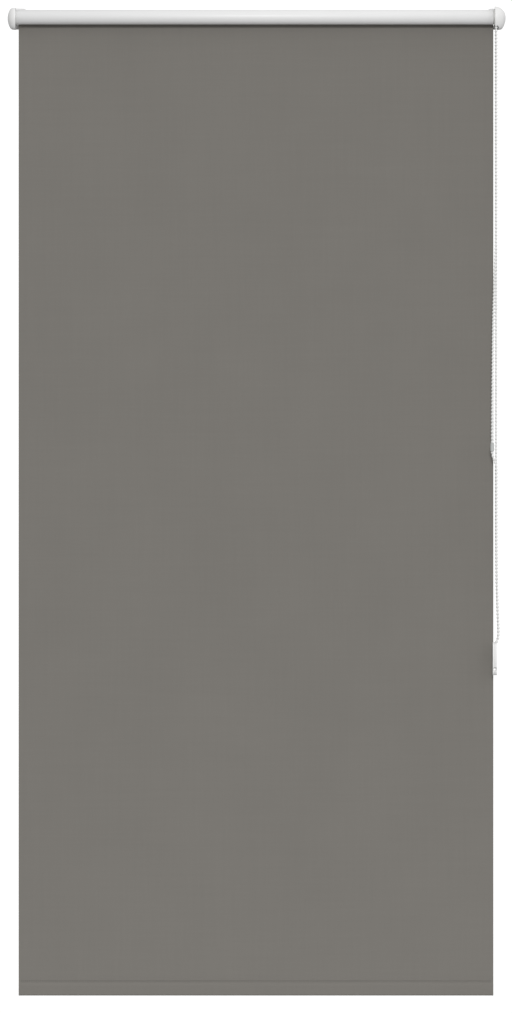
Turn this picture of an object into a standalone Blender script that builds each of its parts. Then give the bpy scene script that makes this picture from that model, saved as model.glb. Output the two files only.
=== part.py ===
"""Roller blind with a bead chain clutch, built as separate pieces in metres, +Z up.

The origin is on the wall plane at the height of the roller's axis, midway between the brackets.
+X runs to the chain side, +Y into the wall and -Y into the room.
"""
import math

import bmesh
import bpy
from mathutils import Vector

MM = 0.001
GAP = 0.3 * MM

# Overall sizes
BLIND_WIDTH = 850 * MM
FABRIC_DROP = 1670.5 * MM
FABRIC_THICKNESS = 0.4 * MM
AXIS_STANDOFF = 27 * MM

# Roller tube
TUBE_DIAMETER = 25 * MM
TUBE_WALL = 1 * MM
TUBE_KEY_WIDTH = 2 * MM
TUBE_KEY_HEIGHT = 1.2 * MM

# Bracket covers: depth from the rim to the outermost point, reach in front of the middle, how far
# the dome would rise and fall from the middle, and the levels where it is flattened off
COVER_WALL = 1.3 * MM
COVER_FIT = 0.5 * MM
COVER_FULLNESS = 2
COVER_FLATNESS = 12
IDLE_COVER_DEPTH = 13.3 * MM
IDLE_COVER_FRONT = 18.6 * MM
IDLE_COVER_DROP = 2.3 * MM
IDLE_COVER_RISE = 21.5 * MM
IDLE_COVER_FALL = 21.5 * MM
IDLE_COVER_FLAT_TOP = 18.5 * MM
IDLE_COVER_FLAT_BOTTOM = 18.8 * MM
CHAIN_COVER_DEPTH = 18.1 * MM
CHAIN_COVER_FRONT = 20.1 * MM
CHAIN_COVER_DROP = 0.5 * MM
CHAIN_COVER_RISE = 18.9 * MM
CHAIN_COVER_FALL = 26 * MM
CHAIN_COVER_FLAT_TOP = 22 * MM
CHAIN_COVER_FLAT_BOTTOM = 20.6 * MM

# Brackets
BRACKET_SHEET = 1.5 * MM
IDLE_PLATE_INSET = 0.8 * MM
FLANGE_REACH = 21.5 * MM
FLANGE_TOP = 15.8 * MM
FLANGE_BOTTOM = 20.2 * MM
FLANGE_CORNER = 6 * MM
SCREW_HOLE_DIAMETER = 4.5 * MM
SCREW_HOLE_HEIGHTS = (8 * MM, -12 * MM)

# Chain wheel
BEAD_DIAMETER = 4.5 * MM
BEAD_PITCH = 6 * MM
CHAIN_THREAD = 1.5 * MM
POCKET_COUNT = 12
POCKET_RADIUS = 2.6 * MM
WHEEL_WIDTH = 7 * MM
WHEEL_RADIUS = 13 * MM
THREAD_SLOT_WIDTH = 2.2 * MM
THREAD_SLOT_DEPTH = 2.7 * MM
WHEEL_TO_RIM = 1.8 * MM

# Clutch
SPINDLE_RADIUS = 4.8 * MM
SPINDLE_FLANGE = 1.4 * MM
SPINDLE_BOSS = 9 * MM
SPINDLE_BOSS_LENGTH = 3.3 * MM
RUNNING_CLEARANCE = 0.4 * MM
WRAP_WIRE = 1 * MM
WRAP_TURNS = 5
WRAP_PITCH = 1.35 * MM
WRAP_SPRING_STEP = 11 * MM
TANG_REACH = 8.2 * MM
TANG_ANGLE = 22
SLEEVE_WALL = 1.2 * MM
SLEEVE_LENGTH = 28 * MM
SLEEVE_GAP_WIDTH = 10 * MM
CROWN_WALL = 2 * MM
CROWN_FLANGE = 0.8 * MM
CROWN_KEY_WIDTH = 2.4 * MM
CROWN_KEY_HEIGHT = 2 * MM
CROWN_WEB = 2 * MM
CLIP_THICKNESS = 1.6 * MM
CLIP_RADIUS = 7 * MM
CLIP_GROOVE = 0.9 * MM
GUARD_WALL = 0.8 * MM
GUARD_CLEARANCE = 0.3 * MM

# Idle end
PLUG_FLANGE = 1.2 * MM
PLUG_LENGTH = 33 * MM
PLUG_NOSE = 5.2 * MM
PIN_RADIUS = 3 * MM
PIN_REACH = 5.8 * MM
PIN_COLLAR_RADIUS = 5 * MM
PIN_COLLAR = 1.5 * MM
PIN_TAIL_RADIUS = 2.6 * MM
PIN_TAIL_LENGTH = 12 * MM
CHAMBER_RADIUS = 5.6 * MM
IDLE_WIRE = 0.8 * MM
IDLE_SPRING_RADIUS = 3.9 * MM
IDLE_SPRING_TURNS = 8
PLUG_CAP = 2 * MM
PLUG_CAP_SPIGOT = 3.3 * MM

# Fabric, tape and bottom bar
LEAD_START = 2
LEAD_END = 60
TAPE_START = 30
TAPE_END = 72
TAPE_THICKNESS = 0.2 * MM
FABRIC_INSET = 3.1 * MM
FABRIC_OVERHANG = 0.5 * MM
HEM_HEIGHT = 27 * MM
BAR_THICKNESS = 4 * MM
BAR_HEIGHT = 14 * MM
BAR_CAP_LENGTH = 2.5 * MM
BAR_TENON_LENGTH = 8 * MM
BAR_TENON_SCALE = 0.5

# Bead chain and tensioner
CHAIN_EXIT_DROP = 13.8 * MM
CHAIN_BORE_CLEARANCE = 0.4 * MM
CONNECTOR_HEIGHT = 734 * MM
CONNECTOR_LENGTH = 14 * MM
CONNECTOR_RADIUS = 3.2 * MM
TENSIONER_TOP = 1067 * MM
TENSIONER_HEIGHT = 56 * MM
TENSIONER_DEPTH = 26.7 * MM
TENSIONER_WIDTH = 7 * MM
TENSIONER_CENTRE_X = 406.4 * MM
TENSIONER_CENTRE_Y = -30.6 * MM
TENSIONER_CORNER = 6 * MM
TENSIONER_BEND_HEIGHT = 30 * MM
TENSIONER_BEND_RADIUS = 9.2 * MM
TENSIONER_SCREW_DIAMETER = 3.6 * MM
TENSIONER_HEAD_WIDTH = 6.4 * MM
TENSIONER_HEAD_DEPTH = 6 * MM
TENSIONER_SCREW_HEIGHT = 10 * MM

# Facets round a full turn
FINE = 48
MEDIUM = 32
COARSE = 20

# Places that follow from the sizes above
AXIS_Y = -AXIS_STANDOFF
TUBE_RADIUS = TUBE_DIAMETER / 2
TUBE_BORE = TUBE_RADIUS - TUBE_WALL
SLIP_RADIUS = TUBE_BORE - GAP
HALF_WIDTH = BLIND_WIDTH / 2

IDLE_RIM_X = -HALF_WIDTH + IDLE_COVER_DEPTH
CHAIN_RIM_X = HALF_WIDTH - CHAIN_COVER_DEPTH
CHAIN_X = CHAIN_RIM_X + WHEEL_TO_RIM
PITCH_RADIUS = BEAD_PITCH / (2 * math.sin(math.pi / POCKET_COUNT))

WHEEL_LEFT = CHAIN_X - WHEEL_WIDTH / 2
WHEEL_RIGHT = CHAIN_X + WHEEL_WIDTH / 2
SPINDLE_FLANGE_LEFT = WHEEL_RIGHT + GAP
SPINDLE_FLANGE_RIGHT = SPINDLE_FLANGE_LEFT + SPINDLE_FLANGE
CHAIN_PLATE_LEFT = SPINDLE_FLANGE_RIGHT + GAP
CHAIN_PLATE_RIGHT = CHAIN_PLATE_LEFT + BRACKET_SHEET
GUARD_INNER = PITCH_RADIUS + BEAD_DIAMETER / 2 + GUARD_CLEARANCE
GUARD_OUTER = GUARD_INNER + GUARD_WALL
SPINDLE_FLANGE_RADIUS = GUARD_INNER - GAP

CROWN_RIGHT = WHEEL_LEFT - GAP
TUBE_RIGHT = CROWN_RIGHT - CROWN_FLANGE - GAP
SLEEVE_INNER = SPINDLE_RADIUS + GAP + WRAP_WIRE + 0.5 * MM
SLEEVE_OUTER = SLEEVE_INNER + SLEEVE_WALL
SLEEVE_LEFT = WHEEL_LEFT - SLEEVE_LENGTH
CROWN_WEB_RIGHT = SLEEVE_LEFT - GAP
CROWN_WEB_LEFT = CROWN_WEB_RIGHT - CROWN_WEB
CLIP_RIGHT = CROWN_WEB_LEFT - GAP
CLIP_LEFT = CLIP_RIGHT - CLIP_THICKNESS
SPINDLE_LEFT = CLIP_LEFT - 1.5 * MM

IDLE_PLATE_LEFT = IDLE_RIM_X - IDLE_PLATE_INSET - BRACKET_SHEET
PLUG_LEFT = IDLE_RIM_X + 0.6 * MM
TUBE_LEFT = PLUG_LEFT + PLUG_FLANGE + GAP
PLUG_SHOULDER = PLUG_LEFT + PLUG_NOSE
PLUG_RIGHT = PLUG_LEFT + PLUG_LENGTH
PIN_LEFT = PLUG_LEFT - PIN_REACH
PIN_COLLAR_LEFT = PLUG_SHOULDER + GAP
PIN_COLLAR_RIGHT = PIN_COLLAR_LEFT + PIN_COLLAR
PLUG_CAP_LEFT = PLUG_RIGHT - PLUG_CAP_SPIGOT

LEAD_INNER = TUBE_RADIUS + GAP + TAPE_THICKNESS + GAP
LEAD_OUTER = LEAD_INNER + FABRIC_THICKNESS
PANEL_Y = AXIS_Y + (LEAD_INNER + LEAD_OUTER) / 2
FABRIC_LEFT = TUBE_LEFT + FABRIC_INSET
FABRIC_RIGHT = TUBE_RIGHT + FABRIC_OVERHANG
FABRIC_WIDTH = FABRIC_RIGHT - FABRIC_LEFT
FABRIC_X = (FABRIC_LEFT + FABRIC_RIGHT) / 2
HEM_TOP = -FABRIC_DROP + HEM_HEIGHT
HEM_THICKNESS = BAR_THICKNESS + 2 * (GAP + FABRIC_THICKNESS)
HEM_Z = HEM_TOP - HEM_HEIGHT / 2
BAR_Z = -FABRIC_DROP + FABRIC_THICKNESS + GAP + BAR_HEIGHT / 2

TENSIONER_BEND_Z = -TENSIONER_TOP - TENSIONER_HEIGHT + TENSIONER_BEND_HEIGHT

# The chain's route in millimetres, down the front, round the tensioner and up the back
FRONT_ROUTE = (
    (408.7, -38.6, -13.8), (408.7, -38.6, -60), (408.6, -38.6, -200), (408.2, -38.7, -380),
    (405.8, -38.8, -450), (403.8, -38.9, -510), (402.8, -39.0, -590), (402.0, -39.1, -680),
    (401.8, -39.2, -722), (401.8, -39.2, -734), (401.8, -39.2, -744), (403.2, -39.2, -751),
    (406.8, -39.3, -759), (408.8, -39.4, -768), (409.0, -39.4, -782), (409.0, -39.6, -880),
    (409.6, -39.8, -950), (410.6, -39.8, -995), (412.2, -39.8, -1036), (412.6, -39.8, -1050),
    (411.8, -39.8, -1060), (409.2, -39.8, -1067), (406.8, -39.8, -1075), (406.4, -39.8, -1084),
)
REAR_ROUTE = (
    (406.4, -21.4, -1084), (406.8, -21.4, -1075), (409.2, -21.4, -1067), (411.8, -21.3, -1060),
    (412.6, -21.2, -1050), (412.2, -21.0, -1036), (410.6, -20.2, -995), (409.6, -19.5, -950),
    (409.0, -18.6, -880), (408.9, -18.0, -800), (408.9, -16.8, -600), (408.9, -15.8, -300),
    (408.7, -15.4, -60), (408.7, -15.4, -13.8),
)
ROUTE_STEP = 32 * MM

PLANE_YZ = (math.pi / 2, 0, math.pi / 2)
PLANE_XZ = (math.pi / 2, 0, 0)
ABOUT_X = (0, math.pi / 2, 0)


def clear_scene():
    """Empty the scene that the script starts in."""
    for item in list(bpy.data.objects):
        bpy.data.objects.remove(item, do_unlink=True)


clear_scene()
BLIND = bpy.data.collections.new("roller_blind")
CUTTERS = bpy.data.collections.new("cutters")
for collection in (BLIND, CUTTERS):
    bpy.context.scene.collection.children.link(collection)


def material(name, color, roughness, metallic=0.0):
    """A Principled material, made once for each name."""
    made = bpy.data.materials.get(name)
    if made is None:
        made = bpy.data.materials.new(name)
        made.use_nodes = True
        shader = made.node_tree.nodes["Principled BSDF"]
        shader.inputs["Base Color"].default_value = (*color, 1)
        shader.inputs["Roughness"].default_value = roughness
        shader.inputs["Metallic"].default_value = metallic
        made.diffuse_color = (*color, 1)
    return made


def white_enamel():
    return material("white_enamel", (0.80, 0.80, 0.80), 0.35)


def white_plastic():
    return material("white_plastic", (0.82, 0.82, 0.81), 0.45)


def clutch_plastic():
    return material("clutch_plastic", (0.70, 0.70, 0.68), 0.5)


def spring_steel():
    return material("spring_steel", (0.55, 0.55, 0.56), 0.3, 1.0)


def aluminium():
    return material("aluminium", (0.75, 0.75, 0.76), 0.35, 1.0)


def taupe_fabric():
    return material("taupe_fabric", (0.195, 0.185, 0.168), 0.9)


def adhesive():
    return material("adhesive", (0.85, 0.85, 0.80), 0.6)


def place(name, data, finish=None, collection=BLIND):
    """Link an object; a piece has a finish and a cutter has none."""
    piece = bpy.data.objects.new(name, data)
    collection.objects.link(piece)
    if finish:
        data.materials.append(finish())
    else:
        piece.display_type = "WIRE"
        piece.hide_render = True
    return piece


def home(finish):
    return BLIND if finish else CUTTERS


def set_smooth(piece, degrees=35):
    piece.data.shade_smooth()
    piece.data.set_sharp_from_angle(angle=math.radians(degrees))


def as_mesh(piece, finish=None):
    """Turn a curve object into a closed mesh object of the same name and place."""
    bpy.context.view_layer.update()
    graph = bpy.context.evaluated_depsgraph_get()
    mesh = bpy.data.meshes.new_from_object(piece.evaluated_get(graph))
    mesh.name = piece.name
    name, matrix = piece.name, piece.matrix_world.copy()
    bpy.data.objects.remove(piece, do_unlink=True)
    work = bmesh.new()
    work.from_mesh(mesh)
    bmesh.ops.remove_doubles(work, verts=work.verts, dist=1e-6)
    bmesh.ops.recalc_face_normals(work, faces=work.faces)
    work.to_mesh(mesh)
    work.free()
    mesh.materials.clear()
    solid = place(name, mesh, finish, home(finish))
    solid.matrix_world = matrix
    return solid


def box(name, low, high, finish=None):
    """A block between two corners."""
    low, high = Vector(low), Vector(high)
    work = bmesh.new()
    bmesh.ops.create_cube(work, size=1.0)
    bmesh.ops.scale(work, vec=high - low, verts=work.verts)
    mesh = bpy.data.meshes.new(name)
    work.to_mesh(mesh)
    work.free()
    block = place(name, mesh, finish, home(finish))
    block.location = (low + high) / 2
    return block


def rod(name, start, along, length, radius, sides, finish=None):
    """A cylinder from a point along a direction."""
    work = bmesh.new()
    bmesh.ops.create_cone(
        work, cap_ends=True, segments=sides, radius1=radius, radius2=radius, depth=length
    )
    mesh = bpy.data.meshes.new(name)
    work.to_mesh(mesh)
    work.free()
    cylinder = place(name, mesh, finish, home(finish))
    along = Vector(along).normalized()
    cylinder.location = Vector(start) + along * length / 2
    cylinder.rotation_euler = along.to_track_quat("Z", "Y").to_euler()
    return cylinder


def turned(name, profile, steps, finish=None, closed=True):
    """Turn (x, radius) points about the roller's axis; the outer side runs from high x to low x."""
    mesh = bpy.data.meshes.new(name)
    edges = [(n, n + 1) for n in range(len(profile) - 1)]
    if closed:
        edges.append((len(profile) - 1, 0))
    mesh.from_pydata([(radius, 0, x) for x, radius in profile], edges, [])
    piece = place(name, mesh, finish, home(finish))
    piece.location = (0, AXIS_Y, 0)
    piece.rotation_euler = ABOUT_X
    screw = piece.modifiers.new("turn", "SCREW")
    screw.axis = "Z"
    screw.angle = 2 * math.pi
    screw.steps = screw.render_steps = steps
    screw.use_merge_vertices = True
    screw.merge_threshold = 0.00001
    screw.use_smooth_shade = False
    return piece


def flat(name, outlines, thickness, centre, rotation, finish=None):
    """A flat piece from closed outlines, the first one outside and the others holes."""
    curve = bpy.data.curves.new(name, "CURVE")
    curve.dimensions = "2D"
    curve.fill_mode = "BOTH"
    curve.extrude = thickness / 2
    for outline in outlines:
        spline = curve.splines.new("POLY")
        spline.points.add(len(outline) - 1)
        for point, (u, v) in zip(spline.points, outline):
            point.co = (u, v, 0, 1)
        spline.use_cyclic_u = True
    piece = place(name, curve, finish, home(finish))
    piece.location = centre
    piece.rotation_euler = rotation
    return as_mesh(piece, finish)


def tube(name, points, radius, resolution, finish=None):
    """A round wire or cord through points."""
    curve = bpy.data.curves.new(name, "CURVE")
    curve.dimensions = "3D"
    curve.bevel_depth = radius
    curve.bevel_resolution = resolution
    curve.use_fill_caps = True
    spline = curve.splines.new("POLY")
    spline.points.add(len(points) - 1)
    for point, place_at in zip(spline.points, points):
        point.co = (*place_at, 1)
    return place(name, curve, finish, home(finish))


def arc(centre, radius, start, end, steps):
    """Points on an arc, with its angles in degrees."""
    turn = [math.radians(start + (end - start) * n / steps) for n in range(steps + 1)]
    return [(centre[0] + radius * math.cos(a), centre[1] + radius * math.sin(a)) for a in turn]


def rounded_box(low, high, radius, steps=4):
    """A rectangle's outline with four round corners."""
    (left, bottom), (right, top) = low, high
    corners = (
        (right - radius, top - radius, 0), (left + radius, top - radius, 90),
        (left + radius, bottom + radius, 180), (right - radius, bottom + radius, 270),
    )
    return [p for u, v, a in corners for p in arc((u, v), radius, a, a + 90, steps)]


def boolean(piece, other, operation):
    """Cut with, or join to, another solid, which stays as a hidden guide."""
    change = piece.modifiers.new(operation.lower(), "BOOLEAN")
    change.operation = operation
    change.solver = "EXACT"
    change.object = other


def cut(piece, other):
    boolean(piece, other, "DIFFERENCE")


def join(piece, other):
    boolean(piece, other, "UNION")


def smooth_route(points, step):
    """Points along a smooth curve through the route's own points, no further apart than a step."""
    points = [Vector(p) * MM for p in points]
    ends = [2 * points[0] - points[1]] + points + [2 * points[-1] - points[-2]]
    made = []
    for before, start, end, after in zip(ends, ends[1:], ends[2:], ends[3:]):
        count = max(1, math.ceil((end - start).length / step))
        leave, arrive = (end - before) / 2, (after - start) / 2
        reach = (end - start).length
        leave = leave.normalized() * reach
        arrive = arrive.normalized() * reach
        for n in range(count):
            t = n / count
            made.append(
                start * (2 * t**3 - 3 * t**2 + 1) + leave * (t**3 - 2 * t**2 + t)
                + end * (-2 * t**3 + 3 * t**2) + arrive * (t**3 - t**2)
            )
    return made + [points[-1]]


def tensioner_bend():
    """The half circle that the chain makes inside the tensioner, front to back."""
    steps = 12
    return [
        Vector((
            TENSIONER_CENTRE_X,
            TENSIONER_CENTRE_Y - TENSIONER_BEND_RADIUS * math.cos(math.pi * n / steps),
            TENSIONER_BEND_Z - TENSIONER_BEND_RADIUS * math.sin(math.pi * n / steps),
        ))
        for n in range(steps + 1)
    ]


def chain_route():
    return smooth_route(FRONT_ROUTE, ROUTE_STEP) + tensioner_bend() + smooth_route(REAR_ROUTE, ROUTE_STEP)


def levelled(height, limit):
    """A height that levels off smoothly as it nears a limit, for a dome's flat top and bottom."""
    return height / (1 + (abs(height) / limit) ** COVER_FLATNESS) ** (1 / COVER_FLATNESS)


def bracket_cover(name, side, rim_x, depth, front, drop, rise, fall, flat_top, flat_bottom):
    """A domed shell that runs straight back to the flange and is open towards the roller."""
    work = bmesh.new()
    bmesh.ops.create_uvsphere(work, u_segments=MEDIUM, v_segments=MEDIUM // 2, radius=1.0)
    gone = [v for v in work.verts if v.co.x * side < -0.001 or v.co.y > 0.001]
    bmesh.ops.delete(work, geom=gone, context="VERTS")
    for vert in work.verts:
        vert.co /= sum(abs(c) ** COVER_FULLNESS for c in vert.co) ** (1 / COVER_FULLNESS)
        above = vert.co.z > 0
        vert.co.x *= depth
        vert.co.y *= front
        vert.co.z = levelled(vert.co.z * (rise if above else fall), flat_top if above else flat_bottom)
    middle = [
        e for e in work.edges if e.is_boundary and all(abs(v.co.y) < GAP / 100 for v in e.verts)
    ]
    made = bmesh.ops.extrude_edge_only(work, edges=middle)["geom"]
    back = [v for v in made if isinstance(v, bmesh.types.BMVert)]
    bmesh.ops.translate(work, vec=(0, AXIS_STANDOFF - BRACKET_SHEET - GAP, 0), verts=back)
    bmesh.ops.recalc_face_normals(work, faces=work.faces)
    mesh = bpy.data.meshes.new(name)
    work.to_mesh(mesh)
    work.free()
    cover = place(name, mesh, white_plastic)
    cover.location = (rim_x, AXIS_Y, -drop)
    shell = cover.modifiers.new("wall", "SOLIDIFY")
    shell.thickness = COVER_WALL
    shell.offset = -1
    shell.use_even_offset = True
    set_smooth(cover)
    return cover


def plate_radius(depth, at, *reaches):
    """The round nose of a side plate that fits in a cover at a depth from its rim."""
    narrowing = (1 - (at / (depth - COVER_WALL)) ** COVER_FULLNESS) ** (1 / COVER_FULLNESS)
    return (min(reaches) - COVER_WALL) * narrowing - COVER_FIT


def bracket(name, side, plate_low, radius, drop):
    """A sheet steel angle: a round-nosed side plate, and a flange with two screw holes."""
    nose = arc((AXIS_Y, -drop), radius, 90, 270, 16)
    outline = nose + [(0, -drop - radius), (0, -drop + radius)]
    middle = plate_low + BRACKET_SHEET / 2
    plate = flat(name, [outline], BRACKET_SHEET, (middle, 0, 0), PLANE_YZ, white_enamel)
    root = middle + side * BRACKET_SHEET / 2
    end = root - side * FLANGE_REACH
    corner_x = end + side * FLANGE_CORNER
    free = 90 + side * 90
    outline = [
        (root, -FLANGE_BOTTOM), (root, FLANGE_TOP),
        *arc((corner_x, FLANGE_TOP - FLANGE_CORNER), FLANGE_CORNER, 90, free, 6),
        *arc((corner_x, FLANGE_CORNER - FLANGE_BOTTOM), FLANGE_CORNER, free, free + side * 90, 6),
    ]
    flange = flat(
        name + "_flange", [outline], BRACKET_SHEET, (0, -BRACKET_SHEET / 2, 0), PLANE_XZ
    )
    join(plate, flange)
    hole_x = (root + end) / 2 - side * BRACKET_SHEET
    for number, height in enumerate(SCREW_HOLE_HEIGHTS):
        hole = rod(
            f"{name}_hole_{number}", (hole_x, -4 * BRACKET_SHEET, height), (0, 1, 0),
            8 * BRACKET_SHEET, SCREW_HOLE_DIAMETER / 2, COARSE,
        )
        cut(plate, hole)
    return plate


def make_idle_bracket():
    radius = plate_radius(
        IDLE_COVER_DEPTH, IDLE_RIM_X - IDLE_PLATE_LEFT, IDLE_COVER_FRONT,
        levelled(IDLE_COVER_RISE, IDLE_COVER_FLAT_TOP), levelled(IDLE_COVER_FALL, IDLE_COVER_FLAT_BOTTOM),
    )
    plate = bracket("left_bracket", -1, IDLE_PLATE_LEFT, radius, IDLE_COVER_DROP)
    start = (IDLE_PLATE_LEFT - BRACKET_SHEET, AXIS_Y, 0)
    cut(plate, rod("left_bracket_bore", start, (1, 0, 0), 3 * BRACKET_SHEET, PIN_RADIUS + GAP, COARSE))
    bracket_cover(
        "left_bracket_cover", -1, IDLE_RIM_X, IDLE_COVER_DEPTH, IDLE_COVER_FRONT, IDLE_COVER_DROP,
        IDLE_COVER_RISE, IDLE_COVER_FALL, IDLE_COVER_FLAT_TOP, IDLE_COVER_FLAT_BOTTOM,
    )


def make_chain_bracket():
    radius = plate_radius(
        CHAIN_COVER_DEPTH, CHAIN_PLATE_RIGHT - CHAIN_RIM_X, CHAIN_COVER_FRONT,
        levelled(CHAIN_COVER_RISE, CHAIN_COVER_FLAT_TOP),
        levelled(CHAIN_COVER_FALL, CHAIN_COVER_FLAT_BOTTOM),
    )
    plate = bracket("right_bracket", 1, CHAIN_PLATE_LEFT, radius, CHAIN_COVER_DROP)
    half = SPINDLE_BOSS / 2 + GAP
    cut(plate, box(
        "right_bracket_socket",
        (CHAIN_PLATE_LEFT - BRACKET_SHEET, AXIS_Y - half, -half),
        (CHAIN_PLATE_RIGHT + BRACKET_SHEET, AXIS_Y + half, half),
    ))
    cover = bracket_cover(
        "right_bracket_cover", 1, CHAIN_RIM_X, CHAIN_COVER_DEPTH, CHAIN_COVER_FRONT, CHAIN_COVER_DROP,
        CHAIN_COVER_RISE, CHAIN_COVER_FALL, CHAIN_COVER_FLAT_TOP, CHAIN_COVER_FLAT_BOTTOM,
    )
    reach = PITCH_RADIUS + BEAD_DIAMETER
    cut(cover, box(
        "right_cover_notch",
        (CHAIN_RIM_X - COVER_WALL, AXIS_Y - reach, -CHAIN_COVER_FALL - 4 * COVER_WALL),
        (CHAIN_X + BEAD_DIAMETER, AXIS_Y + reach, -PITCH_RADIUS),
    ))


def tube_keyway(name, left, right):
    """A cutter that leaves room for the tube's inner key."""
    half = TUBE_KEY_WIDTH / 2 + GAP
    return box(
        name,
        (left, AXIS_Y - half, -TUBE_RADIUS),
        (right, AXIS_Y + half, -TUBE_BORE + TUBE_KEY_HEIGHT + GAP),
    )


def make_tube():
    roller = turned(
        "roller_tube",
        [
            (TUBE_RIGHT, TUBE_RADIUS), (TUBE_LEFT, TUBE_RADIUS),
            (TUBE_LEFT, TUBE_BORE), (TUBE_RIGHT, TUBE_BORE),
        ],
        FINE, white_enamel,
    )
    key = box(
        "roller_tube_key",
        (TUBE_LEFT, AXIS_Y - TUBE_KEY_WIDTH / 2, -TUBE_BORE - TUBE_WALL / 2),
        (TUBE_RIGHT, AXIS_Y + TUBE_KEY_WIDTH / 2, -TUBE_BORE + TUBE_KEY_HEIGHT),
    )
    join(roller, key)


def make_chain_wheel():
    """The pocketed wheel and, in one piece with it, the sleeve that works the wrap springs."""
    bore = SPINDLE_RADIUS + RUNNING_CLEARANCE
    slot = WHEEL_RADIUS - THREAD_SLOT_DEPTH
    half_slot = THREAD_SLOT_WIDTH / 2
    web = WHEEL_LEFT + BRACKET_SHEET
    wheel = turned(
        "chain_wheel",
        [
            (WHEEL_RIGHT, WHEEL_RADIUS), (CHAIN_X + half_slot, WHEEL_RADIUS), (CHAIN_X + half_slot, slot),
            (CHAIN_X - half_slot, slot), (CHAIN_X - half_slot, WHEEL_RADIUS), (WHEEL_LEFT, WHEEL_RADIUS),
            (WHEEL_LEFT, SLEEVE_OUTER), (SLEEVE_LEFT, SLEEVE_OUTER), (SLEEVE_LEFT, SLEEVE_INNER),
            (web, SLEEVE_INNER), (web, bore), (WHEEL_RIGHT, bore),
        ],
        FINE, clutch_plastic,
    )
    work = bmesh.new()
    for number in range(POCKET_COUNT):
        turn = 2 * math.pi * number / POCKET_COUNT
        made = bmesh.ops.create_uvsphere(work, u_segments=12, v_segments=6, radius=POCKET_RADIUS)
        centre = (CHAIN_X, AXIS_Y + PITCH_RADIUS * math.cos(turn), PITCH_RADIUS * math.sin(turn))
        bmesh.ops.translate(work, vec=centre, verts=made["verts"])
    mesh = bpy.data.meshes.new("chain_wheel_pockets")
    work.to_mesh(mesh)
    work.free()
    cut(wheel, place("chain_wheel_pockets", mesh, None, CUTTERS))
    half = SLEEVE_GAP_WIDTH / 2
    cut(wheel, box(
        "chain_wheel_gap",
        (SLEEVE_LEFT - SLEEVE_WALL, AXIS_Y - half, 0),
        (WHEEL_LEFT - SLEEVE_WALL, AXIS_Y + half, SLEEVE_OUTER + SLEEVE_WALL),
    ))


def make_spindle():
    """The fixed core of the clutch, with a groove for its clip and a square boss in the bracket."""
    groove = SPINDLE_RADIUS - CLIP_GROOVE
    spindle = turned(
        "clutch_spindle",
        [
            (SPINDLE_FLANGE_RIGHT, 0), (SPINDLE_FLANGE_RIGHT, SPINDLE_FLANGE_RADIUS),
            (SPINDLE_FLANGE_LEFT, SPINDLE_FLANGE_RADIUS), (SPINDLE_FLANGE_LEFT, SPINDLE_RADIUS),
            (CLIP_RIGHT + GAP / 2, SPINDLE_RADIUS), (CLIP_RIGHT + GAP / 2, groove),
            (CLIP_LEFT - GAP, groove), (CLIP_LEFT - GAP, SPINDLE_RADIUS),
            (SPINDLE_LEFT, SPINDLE_RADIUS), (SPINDLE_LEFT, 0),
        ],
        MEDIUM, clutch_plastic, closed=False,
    )
    half = SPINDLE_BOSS / 2
    join(spindle, box(
        "clutch_spindle_boss",
        (SPINDLE_FLANGE_RIGHT - SPINDLE_FLANGE / 2, AXIS_Y - half, -half),
        (SPINDLE_FLANGE_RIGHT + SPINDLE_BOSS_LENGTH, AXIS_Y + half, half),
    ))


def make_clip():
    """A C-shaped retaining clip in the spindle's groove."""
    inner = SPINDLE_RADIUS - CLIP_GROOVE + GAP
    outline = arc((AXIS_Y, 0), CLIP_RADIUS, -60, 240, 20) + arc((AXIS_Y, 0), inner, 240, -60, 20)
    middle = (CLIP_LEFT + CLIP_RIGHT) / 2
    flat("spindle_clip", [outline], CLIP_THICKNESS, (middle, 0, 0), PLANE_YZ, spring_steel)


def make_crown():
    """The output of the clutch: a cup that drives the tube through its key."""
    inner = SLIP_RADIUS - CROWN_WALL
    crown = turned(
        "clutch_crown",
        [
            (CROWN_RIGHT, TUBE_RADIUS), (CROWN_RIGHT - CROWN_FLANGE, TUBE_RADIUS),
            (CROWN_RIGHT - CROWN_FLANGE, SLIP_RADIUS), (CROWN_WEB_LEFT, SLIP_RADIUS),
            (CROWN_WEB_LEFT, SPINDLE_RADIUS + RUNNING_CLEARANCE),
            (CROWN_WEB_RIGHT, SPINDLE_RADIUS + RUNNING_CLEARANCE),
            (CROWN_WEB_RIGHT, inner), (CROWN_RIGHT, inner),
        ],
        FINE, clutch_plastic,
    )
    half = CROWN_KEY_WIDTH / 2
    join(crown, box(
        "clutch_crown_key",
        (CROWN_WEB_RIGHT - CROWN_WEB / 2, AXIS_Y - half, inner - CROWN_KEY_HEIGHT),
        (WHEEL_LEFT - SLEEVE_WALL - 2 * GAP, AXIS_Y + half, inner + CROWN_WALL / 2),
    ))
    cut(crown, tube_keyway(
        "clutch_crown_keyway", CROWN_WEB_LEFT - CROWN_WEB, CROWN_RIGHT - CROWN_FLANGE
    ))


def coil(start_x, pitch, turns, radius, per_turn, first_angle, last_angle):
    """Points along a helix round the roller's axis, between two angles in degrees."""
    sweep = 360 * turns + last_angle - first_angle
    count = math.ceil(sweep / 360 * per_turn)
    points = []
    for n in range(count + 1):
        angle = math.radians(first_angle + sweep * n / count)
        points.append((
            start_x + pitch * sweep / 360 * n / count,
            AXIS_Y + radius * math.cos(angle),
            radius * math.sin(angle),
        ))
    return points


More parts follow.
